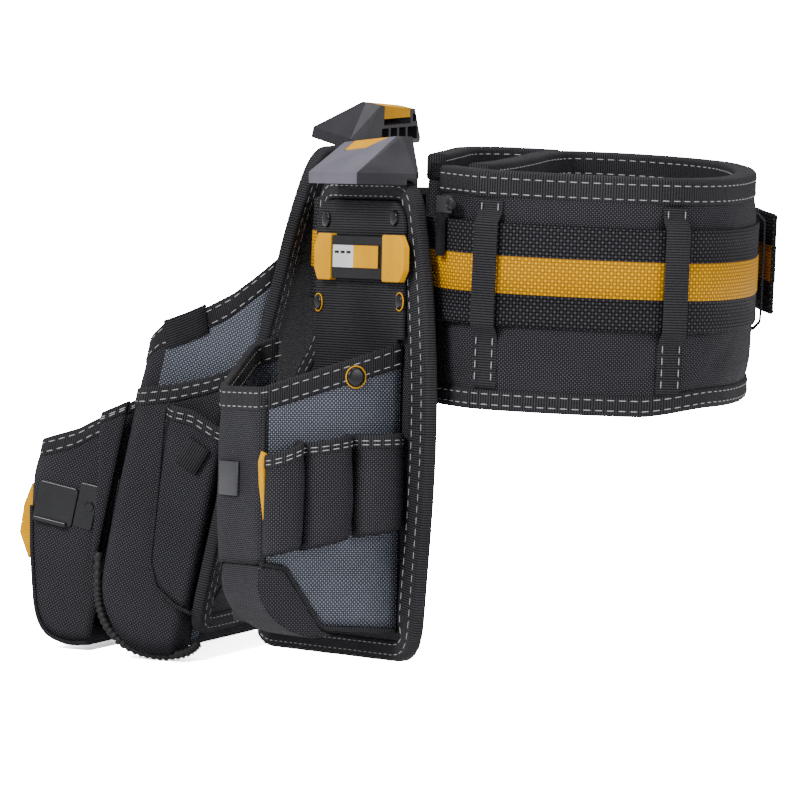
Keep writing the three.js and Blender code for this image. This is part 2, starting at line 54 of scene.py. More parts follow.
FLOOR_GAP = 0.0005

# ---------------------------------------------------------------- camera and light
CAMERA_DISTANCE = 6.0
CAMERA_ELEVATION = math.radians(4.0)
CAMERA_ROLL = math.radians(2.5)
CAMERA_TARGET = Vector((-0.0826, 0.0, -0.091))
CAMERA_LENS = 429.3
FLOOR_REACH = 12.0
ROOM_LIGHT = 0.38
BACKDROP_SEEN = 20.0
FLOOR_SEEN = 60.0


def add_camera():
    data = bpy.data.cameras.new("camera")
    data.lens = CAMERA_LENS
    data.clip_end = 50
    camera = bpy.data.objects.new("camera", data)
    bpy.context.collection.objects.link(camera)
    back = Vector((0, -math.cos(CAMERA_ELEVATION), math.sin(CAMERA_ELEVATION)))
    camera.location = CAMERA_TARGET + back * CAMERA_DISTANCE
    look = (-back).to_track_quat("-Z", "Y").to_matrix().to_4x4()
    camera.rotation_euler = (look @ Matrix.Rotation(CAMERA_ROLL, 4, "Z")).to_euler()
    bpy.context.scene.camera = camera


def add_area_light(name, place, aim, width, power):
    data = bpy.data.lights.new(name, "AREA")
    data.shape = "RECTANGLE"
    data.size = width
    data.size_y = width
    data.energy = power
    light = bpy.data.objects.new(name, data)
    bpy.context.collection.objects.link(light)
    light.location = place
    light.rotation_euler = (Vector(aim) - Vector(place)).to_track_quat("-Z", "Y").to_euler()


def bright_to_camera(tree, plain, bright, output):
    """Camera rays see the bright shader, and every other ray the plain one."""
    seen = tree.nodes.new("ShaderNodeLightPath")
    choose = tree.nodes.new("ShaderNodeMixShader")
    tree.links.new(seen.outputs["Is Camera Ray"], choose.inputs[0])
    tree.links.new(plain.outputs[0], choose.inputs[1])
    tree.links.new(bright.outputs[0], choose.inputs[2])
    tree.links.new(choose.outputs[0], output.inputs["Surface"])


def add_floor():
    low = CAD_BOX[0][2] - FLOOR_GAP
    reach = FLOOR_REACH
    mesh = bpy.data.meshes.new("floor")
    mesh.from_pydata([(-reach, -reach, low), (reach, -reach, low), (reach, reach, low), (-reach, reach, low)],
                     [], [(0, 1, 2, 3)])
    floor = bpy.data.objects.new("floor", mesh)
    bpy.context.collection.objects.link(floor)
    material = bpy.data.materials.new("floor_paper")
    material.use_nodes = True
    tree = material.node_tree
    shader = tree.nodes["Principled BSDF"]
    shader.inputs["Base Color"].default_value = (0.93, 0.93, 0.94, 1)
    shader.inputs["Roughness"].default_value = 0.8
    bright = tree.nodes.new("ShaderNodeBsdfDiffuse")
    bright.inputs["Color"].default_value = (FLOOR_SEEN, FLOOR_SEEN, FLOOR_SEEN, 1)
    bright_to_camera(tree, shader, bright, tree.nodes["Material Output"])
    mesh.materials.append(material)


def add_world():
    world = bpy.data.worlds.new("studio")
    world.use_nodes = True
    tree = world.node_tree
    room = tree.nodes["Background"]
    room.inputs["Color"].default_value = (1, 1, 1, 1)
    room.inputs["Strength"].default_value = ROOM_LIGHT
    backdrop = tree.nodes.new("ShaderNodeBackground")
    backdrop.inputs["Color"].default_value = (1, 1, 1, 1)
    backdrop.inputs["Strength"].default_value = BACKDROP_SEEN
    bright_to_camera(tree, room, backdrop, tree.nodes["World Output"])
    bpy.context.scene.world = world


def add_lights():
    middle = (-0.08, 0, -0.08)
    add_area_light("key", (-1.6, -1.6, 1.5), middle, 0.9, 78)
    add_area_light("fill", (1.8, -1.4, 0.9), middle, 1.4, 30)
    add_area_light("top", (0.1, 0.4, 2.0), middle, 1.6, 40)


add_camera()
add_floor()
add_world()
add_lights()


# ---------------------------------------------------------------- node helpers
CLOTH_SHINE = 0.1


def new_material(name, roughness, specular, metallic=0.0):
    material = bpy.data.materials.new(name)
    material.use_nodes = True
    shader = material.node_tree.nodes["Principled BSDF"]
    shader.inputs["Roughness"].default_value = roughness
    shader.inputs["Specular IOR Level"].default_value = specular
    shader.inputs["Metallic"].default_value = metallic
    return material, material.node_tree, shader


def maths(tree, operation, first, second=0.0, third=0.0):
    node = tree.nodes.new("ShaderNodeMath")
    node.operation = operation
    for socket, value in zip(node.inputs, (first, second, third)):
        if isinstance(value, (int, float)):
            socket.default_value = value
        else:
            tree.links.new(value, socket)
    return node.outputs[0]


def surface_lengths(tree):
    """Two lengths across the surface, in millimetres."""
    coordinate = tree.nodes.new("ShaderNodeTexCoord")
    split = tree.nodes.new("ShaderNodeSeparateXYZ")
    tree.links.new(coordinate.outputs["UV"], split.inputs[0])
    return [maths(tree, "MULTIPLY", split.outputs[i], 1 / MM) for i in (0, 1)]


def basket_height(tree, u, v, pitch):
    """Plain weave: staggered raised dots with lower threads between them."""
    first = maths(tree, "SINE", maths(tree, "MULTIPLY", u, math.pi / pitch))
    second = maths(tree, "SINE", maths(tree, "MULTIPLY", v, math.pi / pitch))
    both = maths(tree, "MULTIPLY", first, second)
    raised = maths(tree, "MULTIPLY_ADD", maths(tree, "GREATER_THAN", both, 0.0), 0.5, 0.5)
    return maths(tree, "MULTIPLY", maths(tree, "POWER", maths(tree, "ABSOLUTE", both), 0.6), raised)


def noise_value(tree, scale, detail=3.0):
    coordinate = tree.nodes.new("ShaderNodeTexCoord")
    texture = tree.nodes.new("ShaderNodeTexNoise")
    texture.inputs["Scale"].default_value = scale
    texture.inputs["Detail"].default_value = detail
    tree.links.new(coordinate.outputs["Object"], texture.inputs["Vector"])
    return texture.outputs["Fac"]


def two_tones(tree, factor, low, high, start, end):
    ramp = tree.nodes.new("ShaderNodeValToRGB")
    ramp.color_ramp.elements[0].position = start
    ramp.color_ramp.elements[0].color = (*low, 1)
    ramp.color_ramp.elements[1].position = end
    ramp.color_ramp.elements[1].color = (*high, 1)
    tree.links.new(factor, ramp.inputs[0])
    return ramp.outputs[0]


def bump(tree, shader, height, distance, strength=1.0):
    node = tree.nodes.new("ShaderNodeBump")
    node.inputs["Distance"].default_value = distance * MM
    node.inputs["Strength"].default_value = strength
    tree.links.new(height, node.inputs["Height"])
    tree.links.new(node.outputs[0], shader.inputs["Normal"])


def fabric(name, low, high, pitch, relief, roughness=0.6, patches=0.25):
    """Woven cloth: raised dots with painted sheen on their tops and painted shade between them, with soft
    wear patches.
    """
    material, tree, shader = new_material(name, roughness, CLOTH_SHINE)
    height = basket_height(tree, *surface_lengths(tree), pitch)
    cloudy = noise_value(tree, 14.0)
    worn = maths(tree, "MULTIPLY_ADD", cloudy, patches * 2, 1 - patches)
    # Colour follows the weave's height: painted shade in the hollows between threads and painted sheen on the
    # raised thread tops, varied by the wear patches.
    colour = two_tones(tree, maths(tree, "MULTIPLY", height, worn), low, high, 0.2, 0.9)
    tree.links.new(colour, shader.inputs["Base Color"])
    bump(tree, shader, height, relief)
    return material


def ribbed(name, low, high, pitch, relief, fine=0.8, along=True, roughness=0.65):
    """Corded tape: ribs across its length with fine threads over them, painted highlights on the rib tops and
    painted shade in the grooves.
    """
    material, tree, shader = new_material(name, roughness, CLOTH_SHINE)
    u, v = surface_lengths(tree)
    first, second = (u, v) if along else (v, u)
    wave = maths(tree, "ABSOLUTE", maths(tree, "SINE", maths(tree, "MULTIPLY", first, math.pi / pitch)))
    threads = maths(tree, "ABSOLUTE", maths(tree, "SINE", maths(tree, "MULTIPLY", second, math.pi / fine)))
    height = maths(tree, "MULTIPLY", maths(tree, "POWER", wave, 0.6),
                   maths(tree, "MULTIPLY_ADD", threads, 0.4, 0.6))
    worn = maths(tree, "MULTIPLY_ADD", noise_value(tree, 16.0), 0.6, 0.7)
    # Colour follows the ribs' height: painted shade in the grooves and painted highlights on the rib tops,
    # varied by the wear patches.
    colour = two_tones(tree, maths(tree, "MULTIPLY", height, worn), low, high, 0.3, 0.95)
    tree.links.new(colour, shader.inputs["Base Color"])
    bump(tree, shader, height, relief)
    return material


def plastic(name, low, high, roughness, grain=900.0, metallic=0.0, specular=0.4):
    """Moulded plastic or coated metal: fine grain, faint scuffs and uneven gloss."""
    material, tree, shader = new_material(name, roughness, specular, metallic)
    scuffs = noise_value(tree, 45.0, 6.0)
    colour = two_tones(tree, scuffs, low, high, 0.35, 0.7)
    tree.links.new(colour, shader.inputs["Base Color"])
    gloss = maths(tree, "MULTIPLY_ADD", scuffs, 0.25, roughness - 0.12)
    tree.links.new(gloss, shader.inputs["Roughness"])
    bump(tree, shader, noise_value(tree, grain, 2.0), 0.06, 0.6)
    return material


# Each cloth's two colours span painted shade in the hollows of its weave and painted sheen on its raised
# threads, around the cloth's own tone.
NYLON = fabric("ballistic_nylon", (0.001, 0.001, 0.0014), (0.075, 0.074, 0.088), 1.2, 0.35)
WEBBING = fabric("webbing", (0.0005, 0.0005, 0.0008), (0.055, 0.054, 0.064), 2.1, 0.6)
YELLOW_WEAVE = fabric("yellow_weave", (0.28, 0.115, 0.0), (0.84, 0.42, 0.0), 2.1, 0.5, roughness=0.5)
GREY_MESH = fabric("grey_mesh_fabric", (0.004, 0.005, 0.008), (0.26, 0.28, 0.34), 1.3, 0.35)
BINDING = ribbed("binding_tape", (0.0008, 0.0008, 0.001), (0.045, 0.044, 0.05), 1.6, 0.5)
CORDED = ribbed("corded_webbing", (0.0008, 0.0008, 0.001), (0.04, 0.039, 0.045), 1.6, 0.5, along=False)
THREAD = fabric("white_thread", (0.35, 0.35, 0.36), (0.6, 0.6, 0.6), 0.5, 0.05, patches=0.1)
BLACK_PLASTIC = plastic("black_plastic", (0.006, 0.006, 0.007), (0.014, 0.014, 0.017), 0.4, specular=0.22)
# A pale lilac painted reflection of the lights for the hoods' outer slopes; the hoods' own plastic is the
# dark grey below it.
HOOD_PAINTED_REFLECTION = plastic("hood_painted_reflection", (0.105, 0.1, 0.13), (0.135, 0.128, 0.16), 0.42)
HOOD_GREY = plastic("hood_grey_plastic", (0.016, 0.0155, 0.02), (0.024, 0.023, 0.029), 0.4)
YELLOW_PLASTIC = plastic("yellow_plastic", (0.66, 0.3, 0.0), (0.76, 0.36, 0.0), 0.5, specular=0.05)
WHITE_PLASTIC = plastic("white_plastic", (0.6, 0.6, 0.62), (0.72, 0.72, 0.74), 0.4)
BLACK_METAL = plastic("black_metal", (0.01, 0.01, 0.012), (0.018, 0.018, 0.021), 0.24, metallic=0.3)
RUBBER = plastic("bumper_rubber", (0.004, 0.004, 0.005), (0.01, 0.01, 0.011), 0.6)
TAG_RUBBER = plastic("tag_rubber", (0.03, 0.03, 0.036), (0.05, 0.05, 0.058), 0.55)


# ---------------------------------------------------------------- mesh helpers, in millimetres
ACROSS, OUT, UP = Vector((1, 0, 0)), Vector((0, 1, 0)), Vector((0, 0, 1))
TO_NEAR_EDGE = Vector((-1, 0, 0))


def ease_edges(piece, width, segments, sharpness):
    """Rounds the edges that turn by more than sharpness, in degrees."""
    modifier = piece.modifiers.new("edges", "BEVEL")
    modifier.width = width * MM
    modifier.segments = segments
    modifier.limit_method = "ANGLE"
    modifier.angle_limit = math.radians(sharpness)


class Shape:
    """Collects faces with their own surface lengths as UVs, then becomes one piece."""

    def __init__(self, place=None):
        self.place = place or Matrix.Identity(4)
        self.verts, self.faces, self.uvs, self.slots = [], [], [], []

    def add(self, verts, faces, uvs, slot=0):
        start = len(self.verts)
        self.verts += [self.place @ (Vector(v) * MM) for v in verts]
        self.faces += [[start + i for i in face] for face in faces]
        self.uvs += uvs
        self.slots += [slot] * len(faces) if isinstance(slot, int) else slot

    def sweep(self, stations, section, closed=False, slot_of=None, heights=False):
        """Carries a closed section along stations of (origin, x axis, y axis). The section is a list, or a
        function of the station's number. slot_of(station, side) gives a face's material, and heights
        lays the cloth by the section's own y."""
        verts, faces, uvs, slots = [], [], [], []
        rows = []
        run = 0.0
        for i, (origin, x_axis, y_axis) in enumerate(stations):
            outline = section(i) if callable(section) else section
            if i:
                run += (origin - stations[i - 1][0]).length
            rows.append((run, [origin + x_axis * x + y_axis * y for x, y in outline], outline))
        if closed:
            last = run + (stations[0][0] - stations[-1][0]).length
            rows.append((last, rows[0][1], rows[0][2]))
        count = len(rows[0][1])
        for _, row, _ in rows[:-1] if closed else rows:
            verts += row
        lengths = [0.0]
        for j in range(count):
            lengths.append(lengths[-1] + (rows[0][1][(j + 1) % count] - rows[0][1][j]).length)
        total = len(rows) - 1 if closed else len(rows)
        for i in range(len(rows) - 1):
            for j in range(count):
                k = (j + 1) % count
                a, b = i * count, ((i + 1) % total) * count
                faces.append([a + j, a + k, b + k, b + j])
                u0, u1 = rows[i][0] * MM, rows[i + 1][0] * MM
                near, far = rows[i][2], rows[i + 1][2]
                if heights:
                    v = (near[j][1] * MM, near[k][1] * MM, far[k][1] * MM, far[j][1] * MM)
                else:
                    v = (lengths[j] * MM, lengths[j + 1] * MM, lengths[j + 1] * MM, lengths[j] * MM)
                uvs.append([(u0, v[0]), (u0, v[1]), (u1, v[2]), (u1, v[3])])
                slots.append(slot_of(i, j) if slot_of else 0)
        if not closed:
            for row, order in ((0, -1), (len(rows) - 1, 1)):
                face = [row * count + j for j in range(count)][::order]
                faces.append(face)
                uvs.append([(x * MM, y * MM) for x, y in rows[row][2]][::order])
                slots.append(slot_of(min(row, len(rows) - 2), 0) if slot_of else 0)
        self.add(verts, faces, uvs, slots)

    def rings(self, outlines, slot=0):
        """Joins level rings of points, outermost first, and fills the last; UVs are the points' own."""
        verts, faces, uvs = [], [], []
        count = len(outlines[0])
        for ring in outlines:
            verts += [point for point, _ in ring]
        for r in range(len(outlines) - 1):
            for j in range(count):
                k = (j + 1) % count
                faces.append([r * count + j, r * count + k, (r + 1) * count + k, (r + 1) * count + j])
                outer, inner = outlines[r], outlines[r + 1]
                uvs.append([outer[j][1], outer[k][1], inner[k][1], inner[j][1]])
        last = len(outlines) - 1
        faces.append([last * count + j for j in range(count)])
        uvs.append([outlines[last][j][1] for j in range(count)])
        self.add(verts, faces, uvs, slot)

    def stitches(self, line, spacing=7.2, length=5.2, thick=0.31, slot=0):
        """Short raised threads along a line of (point, normal)."""
        for point, along, normal in walk(line, spacing):
            side = along.cross(normal).normalized()
            verts = [point - along * (length / 2)]
            for reach in (-0.3, 0.3):
                for k in range(6):
                    turn = math.radians(60 * k)
                    ring = side * math.cos(turn) * thick + normal * (math.sin(turn) * thick * 0.8)
                    verts.append(point + along * (length * reach) + ring)
            verts.append(point + along * (length / 2))
            faces = [[0, 1 + (k + 1) % 6, 1 + k] for k in range(6)]
            faces += [[1 + k, 1 + (k + 1) % 6, 7 + (k + 1) % 6, 7 + k] for k in range(6)]
            faces += [[13, 7 + k, 7 + (k + 1) % 6] for k in range(6)]
            self.add(verts, faces, [[(0.0, 0.0)] * len(face) for face in faces], slot)

    def piece(self, name, body, materials, replaces=(), slot=None, smooth=True, subdivide=0, bevel=0.0):
        mesh = bpy.data.meshes.new(name)
        mesh.from_pydata(self.verts, [], self.faces)
        layer = mesh.uv_layers.new(name="lengths")
        flat = [uv for face in self.uvs for uv in face]
        for loop, uv in zip(layer.data, flat):
            loop.uv = uv
        for material in materials:
            mesh.materials.append(material)
        for polygon, index in zip(mesh.polygons, self.slots):
            polygon.material_index = index
            polygon.use_smooth = smooth
        mesh.validate()
        shape = bmesh.new()
        shape.from_mesh(mesh)
        bmesh.ops.recalc_face_normals(shape, faces=shape.faces)
        shape.to_mesh(mesh)
        shape.free()
        piece = bpy.data.objects.new(name, mesh)
        bpy.context.collection.objects.link(piece)
        if bevel:
            ease_edges(piece, bevel, 2, 40)
        if subdivide:
            modifier = piece.modifiers.new("smooth", "SUBSURF")
            modifier.levels = subdivide
            modifier.render_levels = subdivide
        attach(piece, body)
        if replaces:
            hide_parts(*replaces)
        return piece


def walk(line, spacing):
    """Evenly spaced (point, direction, normal) along a line of (point, normal)."""
    found, carry = [], spacing / 2
    for (a, na), (b, nb) in zip(line, line[1:]):
        step = b - a
        size = step.length
        if size < 1e-6:
            continue
        while carry < size:
            blend = carry / size
            found.append((a + step * blend, step / size, (na.lerp(nb, blend)).normalized()))
            carry += spacing
        carry -= size
    return found


def on_curve(points, closed, index):
    """A centripetal Catmull-Rom curve through points, at a point index."""
    count = len(points)
    whole = math.floor(index)
    if not closed:
        whole = min(max(whole, 0), count - 2)
    part = index - whole
    if closed:
        p = [Vector(points[(whole + k) % count]) for k in (-1, 0, 1, 2)]
    else:
        inner = [Vector(points[whole]), Vector(points[whole + 1])]
        before = Vector(points[whole - 1]) if whole else inner[0] * 2 - inner[1]
        after = Vector(points[whole + 2]) if whole + 2 < count else inner[1] * 2 - inner[0]
        p = [before, *inner, after]
    gap = [math.sqrt(max((p[k + 1] - p[k]).length, 1e-6)) for k in range(3)]
    first = ((p[1] - p[0]) / gap[0] - (p[2] - p[0]) / (gap[0] + gap[1]) + (p[2] - p[1]) / gap[1]) * gap[1]
    second = ((p[2] - p[1]) / gap[1] - (p[3] - p[1]) / (gap[1] + gap[2]) + (p[3] - p[2]) / gap[2]) * gap[1]
    return (p[1] + first * part + (p[2] * 3 - p[1] * 3 - first * 2 - second) * part ** 2
            + (p[1] * 2 - p[2] * 2 + first + second) * part ** 3)


def level_stations(points, closed, start, end, steps):
    """Stations along a level curve: x points out of the waist loop, y points up."""
    found = []
    nudge = 0.01
    whole_loop = closed and end - start >= len(points)
    for i in range(steps if whole_loop else steps + 1):
        index = start + (end - start) * i / steps
        here = on_curve(points, closed, index)
        ahead, behind = (on_curve(points, closed, index + shift) for shift in (nudge, -nudge))
        along = (ahead - behind).normalized()
        found.append((Vector((here[0], here[1], 0)), Vector((along[1], -along[0], 0)), Vector((0, 0, 1))))
    return found


def rounded_box(x0, x1, y0, y1, radius, arc=3, sides=1):
    """A rounded rectangle as a closed section, anticlockwise from its lower right."""
    corners = [(x1 - radius, y0 + radius, -90), (x1 - radius, y1 - radius, 0),
               (x0 + radius, y1 - radius, 90), (x0 + radius, y0 + radius, 180)]
    points = []
    for cx, cy, turn in corners:
        for k in range(arc + 1):
            angle = math.radians(turn + 90 * k / arc)
            points.append((cx + radius * math.cos(angle), cy + radius * math.sin(angle)))
    if sides == 1:
        return points
    full = []
    for i, (x, y) in enumerate(points):
        nx, ny = points[(i + 1) % len(points)]
        cuts = max(1, min(sides, round(math.hypot(nx - x, ny - y) / 6)))
        full += [(x + (nx - x) * k / cuts, y + (ny - y) * k / cuts) for k in range(cuts)]
    return full


# ---------------------------------------------------------------- belt
STRAP_ROUTE = [
    (-48.5, -146), (-18, -164), (40, -171), (95, -156), (125, -100), (136, -20), (136, 45),
    (124, 115), (90, 162), (40, 186), (-15, 206), (-53, 232), (-82, 226), (-97, 186),
    (-119.5, 115), (-141, 47), (-131, 24), (-91.8, -56),
]
STRAP_HALF = 31.75
STRIPE_HALF = 11.5
PAD_TOP, PAD_BOTTOM = 63, -84
TOP_BINDING, LOW_BINDING = 17, 13
CUSHION_CUTS = 20
BEND_FROM, BEND_TO, BEND_LIFT = 60, 105, 6.0
PAD_OFFSET = -9.1
PAD_STATIONS = [-0.4, 0.2, 0.6, 1, 1.6, 2.2, 2.8, 3.4, 4, 4.6, 5.2, 5.8, 6.4, 7, 7.6, 8.2, 8.7]
PAD_FREE_END = [(18, 166), (3, 132), (-10, 60), (-25, -16), (-40, -68)]
WING_ROUTE = [(12, 181), (-20, 187), (-44, 168), (-56, 110), (-66, 45)]


def beside_strap(index, offset):
    origin, out, _ = level_stations(STRAP_ROUTE, True, index, index + 1, 1)[0]
    point = origin + out * offset
    return (point[0], point[1])


PAD_ROUTE = [beside_strap(index, PAD_OFFSET) for index in PAD_STATIONS] + PAD_FREE_END


def settle(piece, held, pressure=4.0, growth=0.006, frames=20, limit=1.9):
    """Cloth simulation of a stuffed cover: held where its edges are bound, blown out from inside."""
    scene = bpy.context.scene
    group = piece.vertex_groups.new(name="bound")
    group.add(held, 1.0, "REPLACE")
    rest = [vertex.co.copy() for vertex in piece.data.vertices]
    cloth = piece.modifiers.new("cloth", "CLOTH")
    cloth.settings.vertex_group_mass = "bound"
    cloth.settings.use_pressure = True
    cloth.settings.uniform_pressure_force = pressure
    cloth.settings.shrink_min = -growth
    cloth.settings.effector_weights.gravity = 0.0
    cloth.point_cache.frame_start = 1
    cloth.point_cache.frame_end = frames
    for frame_number in range(1, frames + 1):
        scene.frame_set(frame_number)
    settled = piece.evaluated_get(bpy.context.evaluated_depsgraph_get())
    moved = [vertex.co.copy() for vertex in settled.data.vertices]
    piece.modifiers.remove(cloth)
    piece.vertex_groups.remove(group)
    for vertex, before, after in zip(piece.data.vertices, rest, moved):
        step = after - before
        if step.length > limit * MM:
            step *= limit * MM / step.length
        vertex.co = before + step
    scene.frame_set(1)


def bound_pad(name, route, thick, steps):
    """A padded band with its bound top and bottom edges and their stitching."""
    stations = level_stations(route, False, 0, len(route) - 1, steps)
    half = thick / 2
    low, high = PAD_BOTTOM + 5, PAD_TOP - 6
    cuts = CUSHION_CUTS

    def lifted(i):
        """How far the low edge rises round the waist's bend, eased in."""
        bend = min(max((stations[i][0][0] - BEND_FROM) / (BEND_TO - BEND_FROM), 0.0), 1.0)
        return BEND_LIFT * bend * bend * (3 - 2 * bend)

    def cushion(i):
        side = []
        for k in range(cuts + 1):
            s = k / cuts
            swell = 1 - abs(2 * s - 1) ** 5
            side.append((half * (0.72 + 0.34 * swell), low + (high - low) * s + lifted(i) * (1 - s)))
        return side + [(-x, y) for x, y in reversed(side)]

    pad = Shape()
    pad.sweep(stations, cushion)
    cover = pad.piece(name + "_cushion", "belt", [NYLON], [name], "ballistic_nylon")
    ring = 2 * (cuts + 1)
    bound = {0, 1, cuts - 1, cuts, cuts + 1, cuts + 2, ring - 2, ring - 1}
    ends = (0, 1, steps - 1, steps)
    settle(cover, [i for i in range(len(cover.data.vertices)) if i % ring in bound or i // ring in ends])
    edge = half + 1.1
    under_top, over_low = PAD_TOP - TOP_BINDING, PAD_BOTTOM + LOW_BINDING
    for part, y0, y1, seams in (("top", under_top, PAD_TOP, (PAD_TOP - 4.5, under_top + 3.2)),
                                ("low", PAD_BOTTOM, over_low, (PAD_BOTTOM + 3.6, over_low - 3.0))):
        tape = Shape()
        shift = [lifted(i) if part == "low" else 0.0 for i in range(len(stations))]
        edges = [(o + y * up, x, y) for (o, x, y), up in zip(stations, shift)]
        tape.sweep(edges, rounded_box(-edge, edge, y0, y1, 2.6, 3, 3))
        for seam in seams:
            for side in (1, -1):
                tape.stitches([(o + x * side * (edge + 0.05) + y * seam, x * side) for o, x, y in edges],
                              slot=1)
        tape.piece(f"{name}_{part}_tape", "belt", [BINDING, THREAD], [f"{name}_{part}_binding"],
                   "binding_tape")


bound_pad("lumbar_pad", PAD_ROUTE, 12, 150)
bound_pad("wing_pad", WING_ROUTE, 10, 40)


STRAP_THICK, STRIPE_PROUD = 3, 0.35


def strap_section():
    """Webbing with thick rolled edges and the raised yellow stripe on its outer face."""
    face, roll = STRAP_THICK * 0.42, STRAP_THICK * 0.5
    out = [(roll, -STRAP_HALF + 1.2), (face, -STRAP_HALF + 6), (face, -STRIPE_HALF - 0.2),
           (face + STRIPE_PROUD, -STRIPE_HALF), (face + STRIPE_PROUD, STRIPE_HALF),
           (face, STRIPE_HALF + 0.2), (face, STRAP_HALF - 6), (roll, STRAP_HALF - 1.2)]
    return [*out, (0, STRAP_HALF), (-roll, STRAP_HALF - 1.2), (-roll, -STRAP_HALF + 1.2), (0, -STRAP_HALF)]


def tail_section():
    """The strap's section with the stripe woven into its inner face too."""
    section = strap_section()
    inner = -STRAP_THICK * 0.5
    return section[:10] + [(inner, STRIPE_HALF), (inner, -STRIPE_HALF)] + section[10:]


def striped(*sides):
    """Yellow weave on these sides of the section, and webbing on the others."""
    return lambda _, j: 1 if j in sides else 0


strap = Shape()
strap.sweep(level_stations(STRAP_ROUTE, True, 0, len(STRAP_ROUTE), 220), strap_section(), closed=True,
            slot_of=striped(3))
strap.piece("waist_webbing", "belt", [WEBBING, YELLOW_WEAVE], ["waist_strap", "strap_stripe"], "webbing")

TAIL_OFFSET = 7.6
TAIL_RAISED = 4
TAIL_STEPS = 68
TAIL_FLARE, FLARE_FROM = 3.5, 54
tail = Shape()
tail_stations = []
for i, (o, x, y) in enumerate(level_stations(STRAP_ROUTE, True, 8.72, 5.5, TAIL_STEPS)):
    flare = TAIL_FLARE * max(0.0, (i - FLARE_FROM) / (TAIL_STEPS - FLARE_FROM)) ** 2
    tail_stations.append((o + x * (TAIL_OFFSET + flare) + y * TAIL_RAISED, x, y))
tail.sweep(tail_stations[::-1], tail_section(), slot_of=striped(3, 10))
tail.piece("tail_webbing", "belt", [WEBBING, YELLOW_WEAVE], ["strap_tail", "tail_stripe"], "webbing")


# ---------------------------------------------------------------- pouch helpers
def pouch_place(x, y, z, outward, lean, tilt):
    """A pouch's own frame: +X across from its near edge, +Y outward, +Z up."""
    return (Matrix.Translation((x * MM, y * MM, z * MM)) @ Matrix.Rotation(math.radians(outward - 90), 4, "Z")
            @ Matrix.Rotation(math.radians(lean), 4, "X") @ Matrix.Rotation(math.radians(tilt), 4, "Y"))


def rounded_path(corners, closed=True, arc=5):
    """Corners (x, y, radius) joined by straight lines and curves, as plain points."""
    count = len(corners)
    points = []
    for i, (x, y, radius) in enumerate(corners):
        here = Vector((x, y))
        if not radius or (not closed and i in (0, count - 1)):
            points.append(here)
            continue
        before, after = Vector(corners[i - 1][:2]) - here, Vector(corners[(i + 1) % count][:2]) - here
        start = here + before.normalized() * min(radius, 0.45 * before.length)
        end = here + after.normalized() * min(radius, 0.45 * after.length)
        points += [start.lerp(here, t).lerp(here.lerp(end, t), t) for t in (k / arc for k in range(arc + 1))]
    return points


def even_path(points, closed, spacing):
    """The same path with points at an even spacing, its sharp turns kept."""
    found = []
    loop = points + points[:1] if closed else points
    for a, b in zip(loop, loop[1:]):
        cuts = max(1, round((b - a).length / spacing))
        found += [a.lerp(b, k / cuts) for k in range(cuts)]
    return found if closed else found + [points[-1]]


def edge_stations(points, closed, lift):
    """Stations along a plane path; x points to the path's right, y along the third axis.
    lift turns a plane point and its right-hand direction into vectors."""
    found = []
    count = len(points)
    for i, point in enumerate(points):
        before = points[i - 1] if closed or i else point
        after = points[(i + 1) % count] if closed or i < count - 1 else point
        along = (after - before).normalized()
        found.append(lift(point, Vector((along[1], -along[0]))))
    return found


def on_line(line, at):
    """Height of a side-view line at an outward distance."""
    for (x0, y0), (x1, y1) in zip(line, line[1:]):
        if at <= x1:
            return y0 + (y1 - y0) * (at - x0) / (x1 - x0)
    return line[-1][1]


def cloth_wave(point, size, amount):
    """Soft, repeatable unevenness of cloth."""
    return noise.noise(point / size) * amount


def back_panel(name, place, body, corners, width=12, half=3.0, widen=0.0):
    """A padded back panel with its bound and double-stitched edge, its near edge widened if asked."""
    outline = even_path(rounded_path(corners), True, 6.0)

    def stand(point, right):
        return (Vector((point[0], 0, point[1])), Vector((right[0], 0, right[1])), Vector((0, -1, 0)))

    stations = edge_stations(outline, True, stand)
    tape = Shape(place)
    widths = [width * (1 + widen * max(0.0, -x[0]) ** 3) for _, x, _ in stations]
    tape.sweep(stations, lambda i: rounded_box(-widths[i], 1.2, -half - 1.1, half + 1.1, 2.4, 3), closed=True)
    for face in (1, -1):
        for share in (0.25, 0.77):
            line = [(o - x * wide * share + y * face * (half + 1.15), y * face)
                    for (o, x, y), wide in zip(stations, widths)]
            tape.stitches(line + line[:1], slot=1)
    tape.piece(f"{name}_edge_tape", body, [BINDING, THREAD], [f"{name}_edge_binding"], "binding_tape")

    cover = Shape(place)
    middle = sum(outline, Vector((0, 0))) / len(outline)
    centre = Vector((middle[0], 0, middle[1]))
    for face in (1, -1):
        rings = []
        for inset, draw, rise in ((2, 0.0, half - 1.0), (0, 0.03, half - 0.1), (0, 0.1, half + 0.5)):
            spots = [(o + x * (inset - wide)).lerp(centre, draw) for (o, x, _), wide in zip(stations, widths)]
            risen = Vector((0, face * rise, 0))
            rings.append([(spot + risen, (spot[0] * MM, spot[2] * MM)) for spot in spots])
        inner = rings[-1]
        for shrink in (0.6, 0.25):
            ring = []
            for point, _ in inner:
                spot = Vector((middle[0], point[1], middle[1])).lerp(point, shrink)
                spot[1] = face * (half + 0.7 + cloth_wave(spot, 60, 0.7))
                ring.append((spot, (spot[0] * MM, spot[2] * MM)))
            rings.append(ring)
        cover.rings(rings if face < 0 else [list(reversed(ring)) for ring in rings])
    piece = cover.piece(f"{name}_panel_cover", body, [NYLON], [f"{name}_panel"], "ballistic_nylon")


